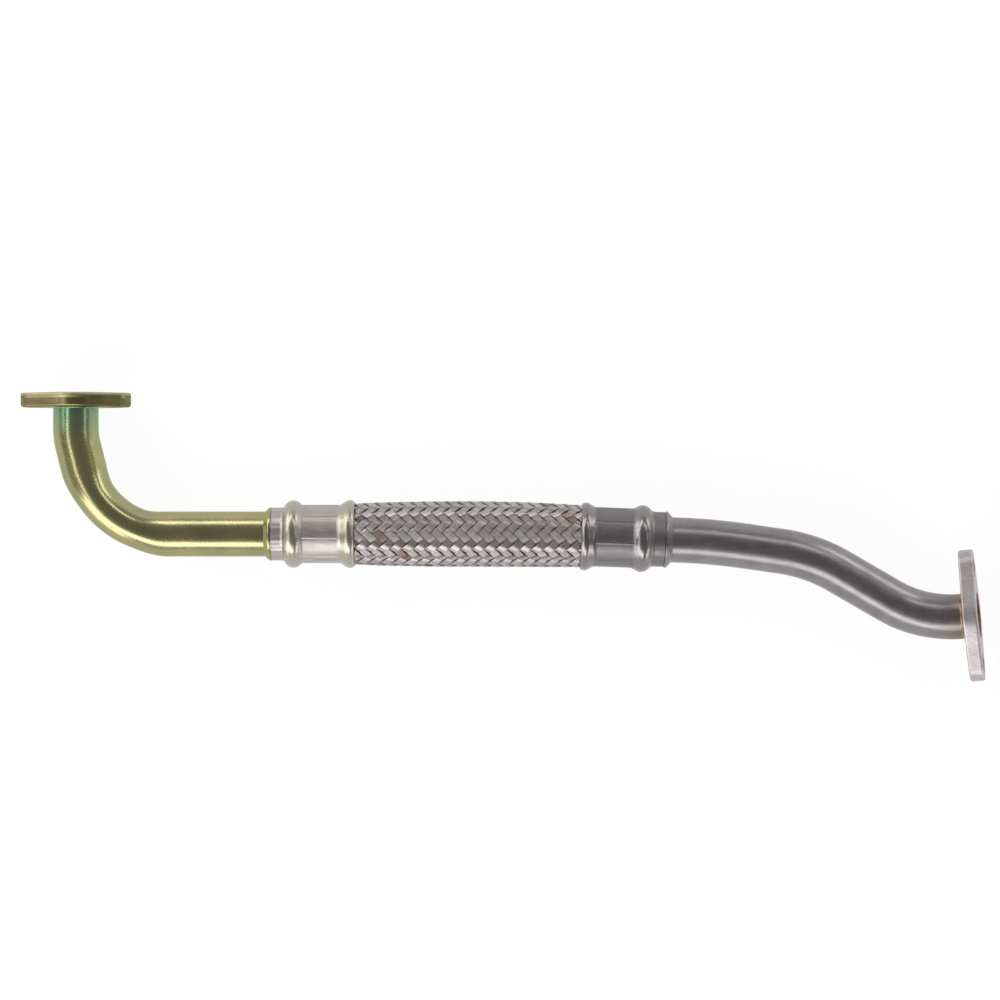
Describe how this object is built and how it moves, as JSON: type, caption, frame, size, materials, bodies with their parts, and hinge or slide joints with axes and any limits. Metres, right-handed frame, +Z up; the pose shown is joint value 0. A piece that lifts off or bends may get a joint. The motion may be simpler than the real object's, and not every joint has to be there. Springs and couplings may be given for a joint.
{
  "type": "turbo oil return pipe",
  "caption": "Turbo oil return pipe lying down: bent steel tubes with brazed two-bolt flanges, joined by a crimped wire-braided hose.",
  "frame": {"origin": "middle of the pipe's footprint, on the surface that it lies on", "axes": "+X along the hose from the inlet to the outlet, +Y the way the inlet flange's gasket face looks, +Z up"},
  "size_m": [0.406, 0.1212, 0.0287],
  "materials": {
    "yellow_zinc": "yellow zinc plate, glossy",
    "inlet_braze_metal": "plated over",
    "bright_ferrule": "turned, then crimped",
    "liner": "matte black",
    "braid_wire": "bright drawn wire",
    "stainless": "satin stainless",
    "copper_braze": "copper braze, as cooled",
    "bare_flange": "matte, fine grained"
  },
  "bodies": {
    "root": {"inlet_flange": "yellow_zinc", "inlet_braze": "inlet_braze_metal", "inlet_tube": "yellow_zinc", "inlet_ferrule": "bright_ferrule", "hose_liner": "liner", "hose_braid": "braid_wire", "outlet_ferrule": "stainless", "outlet_tube": "stainless", "outlet_braze": "copper_braze", "outlet_flange": "bare_flange"}
  },
  "joints": []
}
